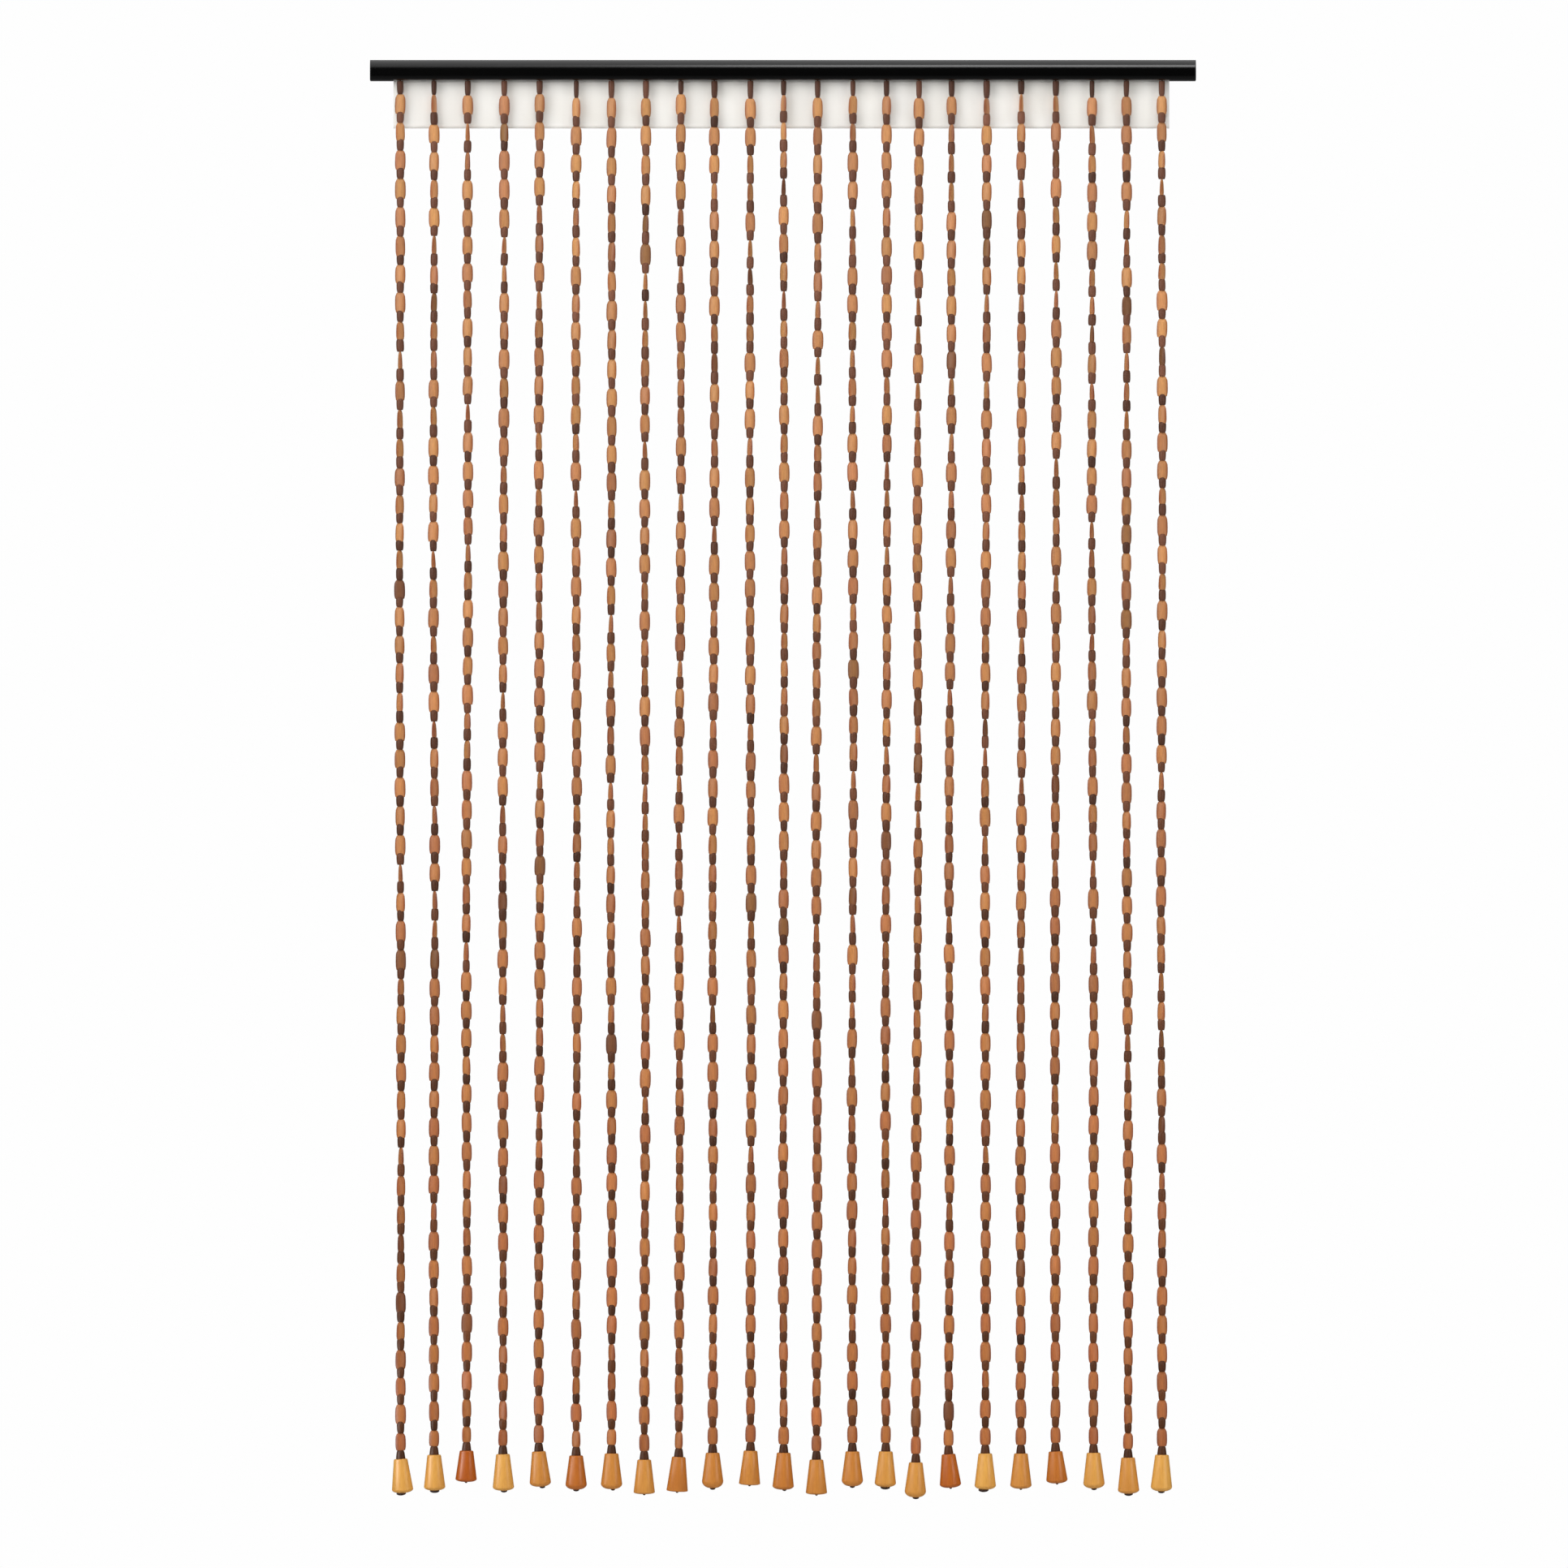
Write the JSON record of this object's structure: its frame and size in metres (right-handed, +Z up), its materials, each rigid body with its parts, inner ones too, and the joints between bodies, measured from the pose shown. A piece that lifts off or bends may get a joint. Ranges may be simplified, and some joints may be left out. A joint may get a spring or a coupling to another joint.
{
  "type": "bead curtain with rail",
  "caption": "Doorway curtain of wooden bead strings with turned cone weights, hung from a wall-mounted black channel rail with a short fabric heading band.",
  "frame": {"origin": "middle of the rail's flat back face, on the wall", "axes": "+Z up, along the curtain's drop; +Y out of the rail's back face into the wall, so the front faces -Y; +X to the right seen from the front"},
  "size_m": [1.2, 0.032, 2.0917],
  "materials": {
    "rail_paint": "semi-gloss black paint on aluminium",
    "cap_plastic": "moulded black plastic",
    "band_tape": "off-white woven tape",
    "bead_wood": "tan stained wood, satin lacquer",
    "dark_bead_wood": "dark brown stained wood, satin lacquer",
    "cord": "dark brown braided cord",
    "carrier_plastic": "extruded black plastic strip",
    "cone_wood": "honey-coloured turned wood, satin lacquer"
  },
  "bodies": {
    "root": {"rail": "rail_paint", "end_cap_left": "cap_plastic", "end_cap_right": "cap_plastic", "heading_band": "band_tape", "strings_left": "bead_wood", "strings_right": "bead_wood", "end_weight_01": "cone_wood", "end_weight_02": "cone_wood", "end_weight_03": "cone_wood", "end_weight_04": "cone_wood", "end_weight_05": "cone_wood", "end_weight_06": "cone_wood", "end_weight_07": "cone_wood", "end_weight_08": "cone_wood", "end_weight_09": "cone_wood", "end_weight_10": "cone_wood", "end_weight_11": "cone_wood", "end_weight_12": "cone_wood", "end_weight_13": "cone_wood", "end_weight_14": "cone_wood", "end_weight_15": "cone_wood", "end_weight_16": "cone_wood", "end_weight_17": "cone_wood", "end_weight_18": "cone_wood", "end_weight_19": "cone_wood", "end_weight_20": "cone_wood", "end_weight_21": "cone_wood", "end_weight_22": "cone_wood", "end_weight_23": "cone_wood"}
  },
  "joints": []
}
